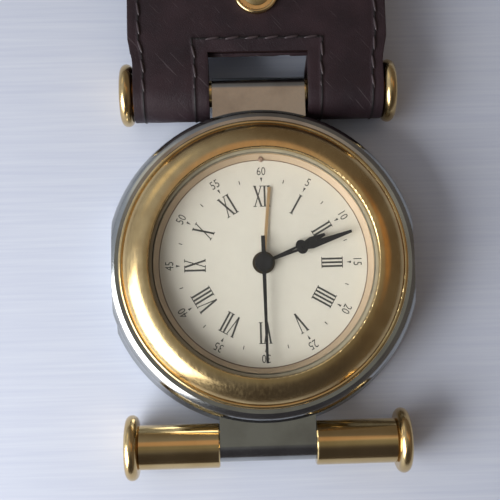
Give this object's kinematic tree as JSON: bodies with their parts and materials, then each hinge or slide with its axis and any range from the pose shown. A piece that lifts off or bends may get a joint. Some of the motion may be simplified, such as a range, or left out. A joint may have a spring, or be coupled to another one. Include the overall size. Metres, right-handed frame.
{
  "type": "pendulette clock",
  "caption": "Small round travel alarm clock with a steel case, domed brass bezel, Roman dial, crossbars with brass caps and a leather cover on the upper bar.",
  "frame": {"origin": "middle of the case back's outer face, on the surface that the clock lies on", "axes": "+Z out of the dial, +Y towards twelve and along the open cover, +X towards three"},
  "size_m": [0.0646, 0.1809, 0.0168],
  "materials": {
    "steel": "polished",
    "brass": "satin polished",
    "glass": "clear",
    "gasket": "translucent",
    "gilt": "polished rose gilt",
    "pin_brown": "enamelled",
    "dial_ivory": "matt enamel with printed numerals",
    "black_plastic": "moulded",
    "hatch_steel": "brushed",
    "clear_plastic": "moulded",
    "wheel_plastic": "moulded",
    "arbor_brass": "turned",
    "magnet": "sintered",
    "iron": "stamped",
    "copper": "enamelled copper wire",
    "board_green": "lacquered board",
    "can_metal": "nickel plated",
    "sounder_brass": "plain",
    "hand_black": "black lacquer",
    "hand_gold": "gilt lacquer",
    "leather": "fine grain, waxed"
  },
  "bodies": {
    "clock": {"case_body": "steel", "case_back": "steel", "case_screws": "steel", "bezel": "brass", "crystal": "glass", "crystal_gasket": "gasket", "dial_ring": "gilt", "twelve_pin": "pin_brown", "dial": "dial_ivory", "movement_ring": "black_plastic", "top_rod": "steel", "bottom_rod": "steel", "top_left_sleeve": "brass", "top_right_sleeve": "brass", "bottom_left_sleeve": "brass", "bottom_right_sleeve": "brass", "top_left_cap": "brass", "top_right_cap": "brass", "bottom_left_cap": "brass", "bottom_right_cap": "brass", "rear_housing": "black_plastic", "middle_plate": "clear_plastic", "front_plate": "clear_plastic", "movement_screws": "steel", "stator": "iron", "coil_core": "iron", "coil_winding": "copper", "circuit_board": "board_green", "quartz_can": "can_metal", "chip_cover": "black_plastic", "battery": "can_metal", "top_contact": "can_metal", "side_contact": "can_metal", "buzzer_disc": "sounder_brass"},
    "seconds": {"second_wheel": "arbor_brass", "second_hand": "hand_black"},
    "third": {"third_wheel": "wheel_plastic"},
    "centre": {"centre_wheel": "wheel_plastic"},
    "step": {"step_wheel": "wheel_plastic"},
    "motor": {"rotor": "magnet"},
    "minutes": {"cannon_pinion": "arbor_brass", "minute_hand": "hand_black"},
    "motion": {"motion_wheel": "wheel_plastic"},
    "hours": {"hour_wheel": "wheel_plastic", "hour_hand": "hand_black"},
    "alarm": {"alarm_wheel": "wheel_plastic", "alarm_hand": "hand_gold"},
    "time_setter": {"time_knob": "black_plastic"},
    "alarm_setter": {"alarm_knob": "black_plastic"},
    "hatch": {"battery_hatch": "hatch_steel"},
    "switch": {"alarm_switch": "black_plastic"},
    "cover_root": {"cover_loops": "leather"},
    "cover_flap": {"cover_panel": "leather", "near_snap_cap": "brass", "near_snap_socket": "brass", "end_snap_cap": "brass", "end_snap_stud": "brass"}
  },
  "joints": [
    {"name": "second_hand_turn", "type": "hinge", "parent": "clock", "child": "seconds", "pos_m": [0, 0, 0.005], "axis": [0, 0, 1], "continuous": true},
    {"name": "third_wheel_turn", "type": "hinge", "parent": "clock", "child": "third", "pos_m": [0, 0.0072, 0.005], "axis": [0, 0, 1], "continuous": true},
    {"name": "centre_wheel_turn", "type": "hinge", "parent": "clock", "child": "centre", "pos_m": [0, 0, 0.005], "axis": [0, 0, 1], "continuous": true},
    {"name": "step_wheel_turn", "type": "hinge", "parent": "clock", "child": "step", "pos_m": [-0.003, -0.0052, 0.005], "axis": [0, 0, 1], "continuous": true},
    {"name": "rotor_turn", "type": "hinge", "parent": "clock", "child": "motor", "pos_m": [-0.00597, -0.00817, 0.005], "axis": [0, 0, 1], "continuous": true},
    {"name": "minute_hand_turn", "type": "hinge", "parent": "clock", "child": "minutes", "pos_m": [0, 0, 0.005], "axis": [0, 0, 1], "continuous": true},
    {"name": "motion_wheel_turn", "type": "hinge", "parent": "clock", "child": "motion", "pos_m": [-0.0047, 0.00171, 0.005], "axis": [0, 0, 1], "continuous": true},
    {"name": "hour_hand_turn", "type": "hinge", "parent": "clock", "child": "hours", "pos_m": [0, 0, 0.005], "axis": [0, 0, 1], "continuous": true},
    {"name": "time_knob_turn", "type": "hinge", "parent": "clock", "child": "time_setter", "pos_m": [-0.00963, 0.00351, 0.005], "axis": [0, 0, 1], "continuous": true},
    {"name": "alarm_knob_turn", "type": "hinge", "parent": "clock", "child": "alarm_setter", "pos_m": [0.00902, 0.00328, 0.005], "axis": [0, 0, 1], "continuous": true},
    {"name": "alarm_hand_turn", "type": "hinge", "parent": "clock", "child": "alarm", "pos_m": [0, 0, 0.005], "axis": [0, 0, 1], "continuous": true},
    {"name": "battery_hatch_turn", "type": "hinge", "parent": "clock", "child": "hatch", "pos_m": [0.01052, -0.01152, 0.0005], "axis": [0, 0, 1], "range_deg": [0, 45]},
    {"name": "alarm_switch_slide", "type": "slide", "parent": "clock", "child": "switch", "axis": [1, 0, 0], "range_m": [0, 0.003]},
    {"name": "cover_swing", "type": "hinge", "parent": "clock", "child": "cover_root", "pos_m": [0, 0.0385, 0.007], "axis": [1, 0, 0], "range_deg": [-80, 90]},
    {"name": "cover_fold", "type": "hinge", "parent": "cover_root", "child": "cover_flap", "pos_m": [0, 0.0517, 0.0118], "axis": [1, 0, 0], "range_deg": [-80, 90]}
  ],
  "couplings": [
    {"joint": "third_wheel_turn", "follows": "second_hand_turn", "ratio": -0.13333},
    {"joint": "centre_wheel_turn", "follows": "second_hand_turn", "ratio": 0.016667},
    {"joint": "step_wheel_turn", "follows": "second_hand_turn", "ratio": -5},
    {"joint": "rotor_turn", "follows": "second_hand_turn", "ratio": 30},
    {"joint": "motion_wheel_turn", "follows": "minute_hand_turn", "ratio": -0.33333},
    {"joint": "hour_hand_turn", "follows": "minute_hand_turn", "ratio": 0.083333},
    {"joint": "time_knob_turn", "follows": "minute_hand_turn", "ratio": 0.83333},
    {"joint": "alarm_hand_turn", "follows": "alarm_knob_turn", "ratio": -1.4615},
    {"joint": "cover_fold", "follows": "cover_swing", "ratio": 1}
  ]
}
